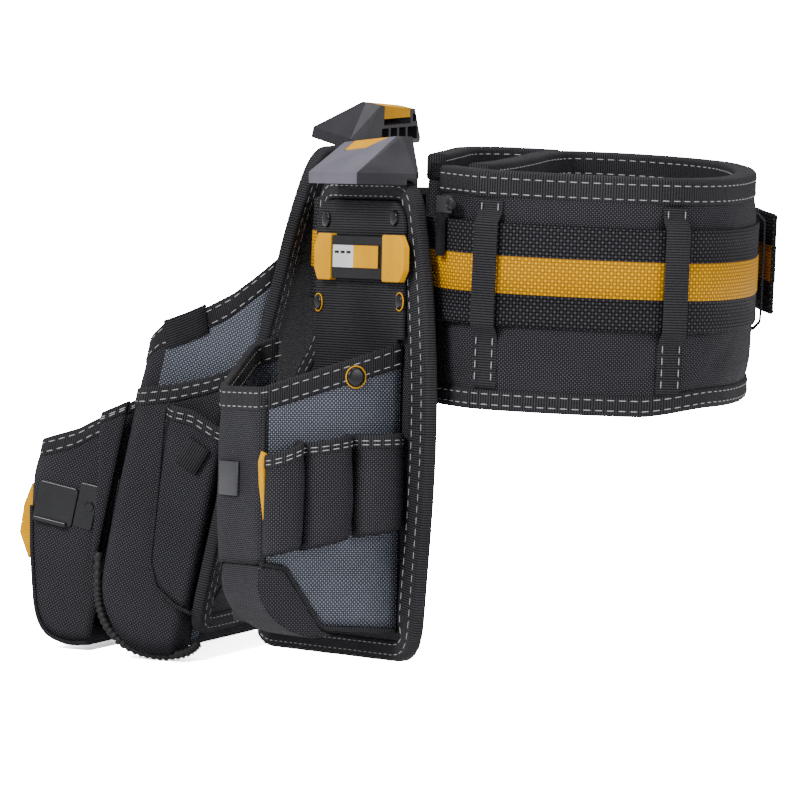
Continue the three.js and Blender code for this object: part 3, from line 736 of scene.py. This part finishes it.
def bag(name, place, body, plan, base, mouth, thick, bound, materials, replaces, slot, front_from=None,
        bulge=3.0, waves=1.2, floor=True, rows=16, spacing=6.0):
    """A sewn open bag: its plan runs round the front from one back edge to the other. base and mouth
    are side-view lines of (outward, up). front_from is the outward distance past which the cloth is
    the second material."""
    path = even_path(rounded_path(plan, closed=False), False, spacing)

    def lay(point, right):
        return (Vector((point[0], point[1], 0)), Vector((-right[0], -right[1], 0)), UP)

    stations = edge_stations(path, False, lay)
    count = len(stations)

    def drift(i, up, low, high):
        """How far the cloth stands off its plan: held at its seams and fullest between them."""
        share = min(max((up - low) / max(high - low, 1.0), 0), 1)
        hold = math.sin(math.pi * share) ** 0.7 * min(1.0, i / 3, (count - 1 - i) / 3)
        return hold * (bulge + cloth_wave(stations[i][0] + Vector((0, 0, up)), 34, waves))

    def wall(i):
        outward = stations[i][0][1]
        low, high = on_line(base, outward), on_line(mouth, outward) - bound * 0.4
        rise = [low + (high - low) * k / rows for k in range(rows + 1)]
        outer = [(drift(i, up, low, high), up) for up in rise]
        inner = [(drift(i, up, low, high) - thick, max(up, low + 2)) for up in reversed(rise)]
        return outer + inner

    def cloth(i, _):
        return 1 if front_from is not None and stations[i][0][1] > front_from else 0

    def ends_at(p):
        """Where the plan's two sides stand at an outward distance."""
        hits = []
        for a, b in zip(path, path[1:]):
            if min(a[1], b[1]) - 0.01 <= p <= max(a[1], b[1]) + 0.01 and abs(b[1] - a[1]) > 0.01:
                hits.append(a[0] + (b[0] - a[0]) * (p - a[1]) / (b[1] - a[1]))
        return (min(hits), max(hits)) if len(hits) > 1 else (path[0][0], path[-1][0])

    shell = Shape(place)
    shell.sweep(stations, wall, slot_of=cloth, heights=True)
    if floor:
        limit = max(point[1] for point in path)
        reach = [p for p, _ in base if p < limit] + [limit]
        line = even_path([Vector((p, on_line(base, p))) for p in reach], False, 8.0)
        laid, halves = [], []
        for i, point in enumerate(line):
            along = (line[min(i + 1, len(line) - 1)] - line[max(i - 1, 0)]).normalized()
            left, right = ends_at(point[0])
            laid.append((Vector(((left + right) / 2, point[0], point[1])), ACROSS,
                         Vector((0, -along[1], along[0]))))
            halves.append(abs(right - left) / 2 - 0.4)
        shell.sweep(laid, lambda i: rounded_box(-halves[i], halves[i], -0.6, 2.2, 1.2, 2),
                    slot_of=lambda i, j: len(materials) - 1)
    shell.piece(f"{name}_cloth", body, materials, replaces, slot)

    rim = Shape(place)
    tops = [(o + z * on_line(mouth, o[1]), x, z) for o, x, z in stations]
    rim.sweep(tops, rounded_box(-thick - 1.3, 1.3, -bound, 0.3, 1.6, 3, 2))
    for row in (-3.6, 3.0 - bound):
        for side in (1, -1):
            gap = 1.35 if side > 0 else -thick - 1.35
            rim.stitches([(o + x * gap + z * row, x * side) for o, x, z in tops], slot=1)
    bound_node = [f"{name}_binding"] if f"{name}_binding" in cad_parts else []
    rim.piece(f"{name}_mouth_tape", body, [BINDING, THREAD], bound_node, "binding_tape")


def from_node(name, node, body, materials, slot_of=None, bevel=0.8):
    """A CAD node's own shape with eased edges and its own finish."""
    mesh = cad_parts[node].data.copy()
    mesh.materials.clear()
    for material in materials:
        mesh.materials.append(material)
    for polygon in mesh.polygons:
        polygon.material_index = slot_of(polygon) if slot_of else 0
        polygon.use_smooth = False
    piece = bpy.data.objects.new(name, mesh)
    bpy.context.collection.objects.link(piece)
    weld = piece.modifiers.new("weld", "WELD")
    weld.merge_threshold = 0.00002
    ease_edges(piece, bevel, 3, 30)
    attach(piece, body)
    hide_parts(node)


def upright(places):
    """Stations for an upright section carried across a pouch: its x runs outward and its y up."""
    return [(Vector(place), OUT, UP) for place in places]


def tube(shape, points, radius, sides, slot, normal):
    """A round cord or piping along points."""
    stations = []
    for i, point in enumerate(points):
        along = (points[min(i + 1, len(points) - 1)] - points[max(i - 1, 0)]).normalized()
        side = along.cross(normal).normalized()
        stations.append((point, side, side.cross(along).normalized()))
    section = [(radius * math.cos(2 * math.pi * k / sides), radius * math.sin(2 * math.pi * k / sides))
               for k in range(sides)]
    shape.sweep(stations, section, slot_of=lambda i, j: slot)


def button(shape, middle, axis, radius, height, slot=0, ring_slot=None):
    """A domed round cap standing on a surface, with a thin ring round it if asked."""
    axis = axis.normalized()
    side = axis.orthogonal().normalized()
    other = axis.cross(side)
    profile = [(radius, 0), (radius, height * 0.55), (radius * 0.9, height * 0.85), (radius * 0.6, height)]
    rings = []
    for r, h in profile:
        ring = []
        for k in range(24):
            turn = 2 * math.pi * k / 24
            point = middle + side * (r * math.cos(turn)) + other * (r * math.sin(turn)) + axis * h
            ring.append((point, (r * math.cos(turn) * MM, r * math.sin(turn) * MM)))
        rings.append(ring)
    shape.rings(rings, slot)
    if ring_slot is not None:
        reach = radius + 0.7
        loop = [middle + side * reach * math.cos(2 * math.pi * k / 32)
                + other * reach * math.sin(2 * math.pi * k / 32) + axis * 0.5 for k in range(33)]
        tube(shape, loop, 0.42, 6, ring_slot, axis)


NEAR = pouch_place(-62, -152, 5, 206, 0, 3)
FAR = pouch_place(-161, 49, 0, 162.4, 10, 0)

# ---------------------------------------------------------------- near pouch
back_panel("near", NEAR, "near_pouch", [
    (34, 49, 20), (13, -20, 40), (4, -110, 60), (22, -246, 24), (252, -246, 28), (240, -150, 50),
    (210, -86, 30), (166, -46, 14), (166, 49, 20)], widen=1.1)

# A stiff ribbed patch behind the badge, its top corners rounded and its foot inside the bag's mouth.
TOWER_LEVELS = [-100, -75, -48.2, -48, -40, -28, -16, -4, 8, 19, 24, 28.5, 32, 35, 36.6]
TOWER_ROUND, ROUND_FROM = 18, 19
BAG_LIP, INSIDE_BAG = -48, 8


def tower_section(i):
    over = max(0.0, TOWER_LEVELS[i] - ROUND_FROM)
    trim = TOWER_ROUND - math.sqrt(max(TOWER_ROUND * TOWER_ROUND - over * over, 0.0))
    inside = INSIDE_BAG if TOWER_LEVELS[i] < BAG_LIP else 0
    return rounded_box(36 + trim + inside, 162 - trim, 4.5, 7.0, 0.8, 2)


tower = Shape(NEAR)
tower.sweep([(Vector((0, 0, level)), ACROSS, OUT) for level in TOWER_LEVELS], tower_section)
tower.piece("near_tower_patch", "near_pouch", [BINDING], ["near_tower"], "webbing", smooth=False)

RIVETS = (((49, 26.5), None), ((146, 24.5), None), ((39.5, -25), 1), ((155.5, -27.5), 1))
rivets = Shape(NEAR)
for (across, up), ring_slot in RIVETS:
    button(rivets, Vector((across, 7.2, up)), OUT, 4.8, 2.0, 0, ring_slot)
rivets.piece("near_rivet_caps", "near_pouch", [BLACK_METAL, YELLOW_PLASTIC],
             [f"near_rivet_{i}" for i in (1, 2, 3, 4)], "black_metal")

from_node("near_badge_body", "near_badge", "near_pouch", [BLACK_PLASTIC], bevel=1.2)
for number in (1, 2):
    from_node(f"near_badge_claw_{number}", f"near_badge_cap_{number}", "near_pouch", [YELLOW_PLASTIC],
              bevel=1.4)
from_node("near_badge_yellow", "near_badge_plate_yellow", "near_pouch", [YELLOW_PLASTIC],
          bevel=0.35)
from_node("near_badge_white", "near_badge_plate_white", "near_pouch", [WHITE_PLASTIC],
          bevel=0.35)
TICK_START, TICK_PITCH, TICK_LENGTH = 98, 8.5, 5.5
marks = Shape(NEAR)
for i in range(3):
    start = TICK_START + i * TICK_PITCH
    marks.sweep(upright((across, 13.65, 4.6) for across in (start, start + TICK_LENGTH)),
                rounded_box(-0.2, 0.25, -0.8, 0.8, 0.15, 1))
marks.piece("near_badge_ticks", "near_pouch", [BLACK_PLASTIC], slot="black_plastic")

NEAR_AXES, FAR_AXES = NEAR.to_3x3().transposed(), FAR.to_3x3().transposed()


def hood_painted_reflection_slot(axes):
    """The outer slope gets a pale lilac painted reflection of the lights; ends, ridge and wearer's side are
    the hood's plain dark grey.
    """
    def pick(polygon):
        local = axes @ polygon.normal
        return 0 if local[1] > 0.3 and abs(local[0]) < 0.35 else 1
    return pick


# The hood's outer slope carries the painted reflection; its other faces are its own dark grey.
from_node("near_hood_shell", "near_hood", "near_pouch", [HOOD_PAINTED_REFLECTION, HOOD_GREY],
          hood_painted_reflection_slot(NEAR_AXES), bevel=0.9)
from_node("near_hood_lever", "near_release_lever", "near_lever", [YELLOW_PLASTIC],
          bevel=0.9)

NEAR_BASE = [(4.5, -229), (56, -227), (82, -190), (105, -187)]
NEAR_MOUTH = [(4.5, -50.5), (105, -80.5)]
bag("near_bag", NEAR, "near_pouch",
    [(40, 5, 0), (40, 99, 7), (97, 101, 8), (222, 22, 10), (222, 5, 0)],
    NEAR_BASE, NEAR_MOUTH, 2.5, 15, [GREY_MESH, NYLON], ["near_bag"], "grey_mesh_fabric",
    front_from=94, bulge=1.5, waves=1.5)

snap = Shape(NEAR)
button(snap, Vector((38.6, 37, -71.6)), TO_NEAR_EDGE, 6.0, 2.2, 0, 1)
snap.piece("near_snap_cap", "near_pouch", [BLACK_METAL, YELLOW_PLASTIC], ["near_snap"], "black_metal")

TUBES = (((6, 38), (-106, -107), (-165, -170)), ((41, 73), (-107, -112), (-170, -178)),
         ((74, 98), (-111, -120), (-176, -182)))
for number, ((start, end), high, low) in enumerate(TUBES, 1):
    half = (end - start) / 2
    plan = [(39.7, start, 0), (31, start + half * 0.08, 5), (25.7, start + half * 0.55, 7),
            (25.7, end - half * 0.55, 7), (31, end - half * 0.08, 5), (39.7, end, 0)]
    bag(f"near_tube_{number}", NEAR, "near_pouch", plan, [(start, low[0]), (end, low[1])],
        [(start, high[0]), (end, high[1])], 1.6, 9, [NYLON], [f"near_tool_tube_{number}"],
        "ballistic_nylon", bulge=2.0, waves=1.6, floor=False, spacing=3.0)

# The stiff foot under the front corner, the bag's welts, the yellow liner by the front tube and the tag.
FOOT = [(50, -229.5), (56.5, -227.6), (82.6, -190.6), (99.5, -188.5), (101.5, -201), (95, -217), (78, -229),
        (61, -232.5)]
FOOT_MIDDLE = (78, -210)
FOOT_SWELLS = ((38.6, 0.0), (39.4, 2.2), (42, 2.8), (84, 2.8), (90, 2.2), (92, 0.0))
SWELL_SHARE = 0.012


def foot_section(i):
    swell = FOOT_SWELLS[i][1]
    return [(p + (p - FOOT_MIDDLE[0]) * SWELL_SHARE * swell, b + (b - FOOT_MIDDLE[1]) * SWELL_SHARE * swell)
            for p, b in FOOT]


foot = Shape(NEAR)
foot.sweep(upright((across, 0, 0) for across, _ in FOOT_SWELLS), foot_section)
foot.piece("near_foot", "near_pouch", [NYLON], ["near_base_cup"], "ballistic_nylon", bevel=2.0, subdivide=1)

trim = Shape(NEAR)
welt = [Vector((39.2, p, on_line(NEAR_BASE, p) + 1.0)) for p in range(6, 102, 3)]
tube(trim, welt, 1.5, 8, 0, ACROSS)
seam = [Vector((38.7, p, b)) for p, b in ((99, -84), (98.5, -110), (97.5, -150), (97, -188))]
tube(trim, even_path(seam, False, 5), 0.9, 6, 0, ACROSS)
trim.piece("near_bag_welts", "near_pouch", [BINDING], slot="binding_tape")

liner = Shape(NEAR)
LINER = ((97, -119), (100.5, -117.5), (102.4, -124), (101.6, -138), (99.4, -152), (97.4, -168), (96.6, -150))
liner.rings([[(Vector((a, p, b)), (p * MM, b * MM)) for p, b in LINER] for a in (37.6, 36.2)])
liner.piece("near_liner_edge", "near_pouch", [YELLOW_PLASTIC], slot="yellow_plastic")

label = Shape(NEAR)
label.sweep(upright((a, 102.3 + 1.2 * math.sin((a - 66) / 27 * math.pi), -135.5) for a in range(66, 94, 3)),
            rounded_box(-0.6, 0.8, -10.5, 10.5, 0.5, 2, 2))
label.piece("near_plain_tag", "near_pouch", [TAG_RUBBER], ["near_tag"], "tag_rubber")

# ---------------------------------------------------------------- far pouch
back_panel("far", FAR, "far_pouch", [
    (26, 62, 24), (8, 14, 30), (4, -40, 30), (-13, -120, 30), (-17, -252, 22), (250, -252, 30),
    (250, -110, 60), (238, -30, 50), (226, 62, 26)], widen=0.5)
# The hood's outer slope carries the painted reflection; its other faces are its own dark grey.
from_node("far_hood_shell", "far_hood", "far_pouch", [HOOD_PAINTED_REFLECTION, HOOD_GREY],
          hood_painted_reflection_slot(FAR_AXES), bevel=0.9)
from_node("far_hood_lever", "far_release_lever", "far_lever", [YELLOW_PLASTIC], bevel=0.9)

FAR_BASE = [(4.5, -259), (17, -268), (32, -270.5), (47, -268), (58, -260), (67, -246), (82, -215)]
FAR_MOUTH = [(4.5, -10), (13, -21), (28, -38), (44, -51), (57, -60), (69, -67), (82, -84)]
bag("far_bag", FAR, "far_pouch",
    [(8, 4.4, 0), (8, 72, 8), (20, 80, 8), (226, 80, 14), (242, 60, 10), (242, 5, 0)],
    FAR_BASE, FAR_MOUTH, 2.5, 17, [GREY_MESH, NYLON], ["far_bag"], "grey_mesh_fabric",
    front_from=61, bulge=1.8, waves=1.8)
bag("far_side_pocket", FAR, "far_pouch", [(6.4, 8, 0), (-8, 14, 4), (-8, 69, 4), (6.4, 76, 0)],
    [(8, -265), (17, -271), (32, -273.5), (44, -271.5), (54, -265), (64, -252),
     (70, -236), (74, -215), (78, -128)],
    [(8, -80), (26, -91), (47, -101), (78, -112)], 1.8, 12, [NYLON], ["far_side_pocket"], "ballistic_nylon",
    bulge=1.0, waves=1.4, spacing=4.0)
bag("far_slant_pocket", FAR, "far_pouch", [(-9.4, 6.4, 0), (-18, 8.4, 4), (-18, 43, 4), (-9.4, 48, 0)],
    [(2, -241), (14, -238.5), (28, -231), (36, -218), (41, -173), (49, -129)],
    [(2, -123), (14, -119), (30, -113.5), (49, -114)], 1.6, 10, [NYLON], ["far_slant_pocket"],
    "ballistic_nylon", bulge=0.8, waves=1.0, spacing=3.5)
bag("far_knife_pocket", FAR, "far_pouch", [(6, 81, 0), (6, 97, 3), (22, 97, 3), (22, 81, 0)],
    [(81, -231), (84, -229), (91, -172), (98, -139)], [(81, -121), (98, -133)], 1.6, 8, [NYLON],
    ["far_knife_pocket"], "ballistic_nylon", bulge=0.6, waves=0.8, spacing=3.0)
TAPE_BASE = [(point[0], point[1]) for point in even_path(rounded_path(
    [(80.6, -283, 0), (95, -287, 9), (111, -284, 9), (120, -272, 9), (130, -238, 12), (142.5, -182, 0)],
    closed=False), False, 3.0)]
bag("far_tape_pocket", FAR, "far_pouch", [(26, 81, 0), (26, 140, 8), (110, 142, 10), (110, 81, 0)],
    TAPE_BASE,
    [(80.6, -125), (103, -137.5), (117, -149), (143, -163)], 2.2, 13, [NYLON], ["far_tape_pocket"],
    "ballistic_nylon", bulge=1.5, waves=1.6, spacing=5.0)

# Piping round the slanted pocket and under the tape pocket.
sewn = Shape(FAR)
SLANT_EDGE = [(48.5, -116), (41.5, -173), (37, -214), (30, -229), (15, -237.5), (3, -240)]
tube(sewn, even_path([Vector((-18.2, p, b)) for p, b in SLANT_EDGE], False, 4), 1.2, 6, 0, ACROSS)
tube(sewn, [Vector((25.4, p, b + 1)) for p, b in TAPE_BASE if b < -205], 1.5, 6, 0, ACROSS)
sewn.piece("far_pocket_piping", "far_pouch", [BINDING], slot="binding_tape")

# The corded patch at the mouth, the slanted pocket's closing tab, and the tape clip on its strap.
patch = Shape(FAR)
leaning = Vector((0, 0.35, 1)).normalized()
patch.sweep([(Vector((6.6, p, on_line(FAR_MOUTH, p) - 10)), TO_NEAR_EDGE, leaning)
             for p in (41, 47, 53, 60, 66)], rounded_box(-1.0, 1.2, -8, 10.6, 0.8, 2, 3))
patch.piece("far_mouth_patch", "far_pouch", [CORDED], slot="webbing")

TAB_ALONG, TAB_RISE = 0.94, 0.34
tab = Shape(FAR)
tab.sweep([(Vector((-20.2, 23.5 + d * TAB_ALONG, -141.5 + d * TAB_RISE)), TO_NEAR_EDGE,
            Vector((0, -TAB_RISE, TAB_ALONG))) for d in (-8.5, -4, 0, 4, 8.5)],
          rounded_box(-0.6, 1.0, -9, 9, 0.6, 2, 3))
tab.piece("far_closing_tab", "far_pouch", [BINDING], ["far_pocket_tab"], "webbing")

clip = Shape(FAR)
for outward, up, (start, end), sides, half_height, radius, arc in (
        (121, -199.5, (25.5, 22.6), (-13.5, 13.5), 12.5, 2.0, 3),
        (122, -211.4, (22.8, 20.2), (-11.5, 11.5), 1.3, 1.0, 2),
        (99, -196.5, (25.5, 23.4), (-5, 8.2), 14.5, 1.0, 3)):
    clip.sweep(upright((across, outward, up) for across in (start, end)),
               rounded_box(*sides, -half_height, half_height, radius, arc))
button(clip, Vector((23.4, 98.5, -196)), TO_NEAR_EDGE, 3.4, 1.0)
clip.piece("far_tape_holder", "far_pouch", [BLACK_METAL], ["far_tape_clip", "far_tape_clip_strap"],
           "black_metal", bevel=0.4, smooth=False)
from_node("far_yellow_hook", "far_tape_hook", "far_pouch", [YELLOW_PLASTIC], bevel=1.0)

BUMPER = [(77, -219), (73, -240), (69, -252), (61, -264), (48, -272), (32, -274.5), (16, -272), (4, -266),
          (-1, -259.5)]
BUMPER_STEPS = 200
RIB_STEPS = 6.5


def rib_section(i):
    """A round bead that swells at each rib."""
    radius = 2.1 + 1.1 * abs(math.sin(i * math.pi / RIB_STEPS))
    return [(radius * math.cos(t), radius * math.sin(t)) for t in (2 * math.pi * k / 10 for k in range(10))]


ribs = Shape(FAR)
line = [on_curve(BUMPER, False, (len(BUMPER) - 1) * k / BUMPER_STEPS) for k in range(BUMPER_STEPS + 1)]
stations = edge_stations(line, False, lambda point, right: (
    Vector((-3, point[0], point[1])), Vector((0, right[0], right[1])), TO_NEAR_EDGE))
ribs.sweep(stations, rib_section)
ribs.piece("far_ribbed_bumper", "far_pouch", [RUBBER], ["far_bumper"], "bumper_rubber")

# ---------------------------------------------------------------- belt fittings
LOOP_LINE = [(-2.4, 45.0), (-2.2, 39), (0.4, 35.5), (3.9, 31.6), (4.2, 26), (4.2, -26), (3.9, -31.6),
             (0.4, -35.5), (-2.0, -40), (-2.8, -70.0)]
LOOP_HALF, LOOP_GAP = 8.0, 0.1
LOOP_TUCKS = {3: 4.0}
for number, index in enumerate((0.55, 2.72, 5.25, 7.2, 8.1), 1):
    origin, out, up = level_stations(STRAP_ROUTE, True, index, index + 1, 1)[0]
    side = out.cross(up)
    tuck = LOOP_TUCKS.get(number, 0.0)
    line = even_path([Vector((x - (tuck if abs(y) > 38 else 0), y)) for x, y in LOOP_LINE], False, 3.0)
    stations = edge_stations(line, False, lambda point, right: (
        origin + out * (point[0] + LOOP_GAP) + up * point[1], side, -(out * right[0] + up * right[1])))
    band = Shape()
    band.sweep(stations, rounded_box(-LOOP_HALF, LOOP_HALF, -0.75, 0.75, 0.6, 2, 3))
    for row in (-5.6, 5.6):
        for start, end in ((44.5, 37.5), (-38.0, -69.5)):
            band.stitches([(origin + side * row + up * h, out) for h in (start, (start + end) / 2, end)],
                          slot=1, thick=0.3)
    band.piece(f"belt_loop_band_{number}", "belt", [BINDING, THREAD], [f"belt_loop_{number}"], "webbing")

from_node("buckle_outer", "buckle_frame", "belt", [BLACK_METAL], bevel=0.8)
from_node("buckle_cam", "buckle_lever", "buckle_lever", [BLACK_METAL], bevel=0.6)
from_node("near_rail", "near_strap_clip", "belt", [BLACK_PLASTIC], bevel=0.8)
from_node("far_rail", "far_strap_clip", "belt", [BLACK_PLASTIC], bevel=0.8)

# The end of the near clip's rail: a narrow bar and a bolted arm.
rail = Shape(NEAR)
for start, end, low, high, slot in ((11.5, 18, 4, 31, 0), (2.6, 18, 30.4, 41, 1)):
    half = (high - low) / 2
    rail.sweep(upright((across, -7.3, (low + high) / 2) for across in (end, start)),
               rounded_box(-1.6, 1.6, -half, half, 0.7, 2), slot_of=lambda i, j, s=slot: s)
button(rail, Vector((2.8, -8.2, 35.8)), TO_NEAR_EDGE, 3.7, 2.6, 2)
button(rail, Vector((0.6, -8.2, 35.8)), TO_NEAR_EDGE, 1.9, 0.7, 0)
rail.piece("rail_tip", "belt", [BLACK_PLASTIC, HOOD_GREY, BLACK_METAL], ["rail_end"], "black_plastic",
           smooth=False)
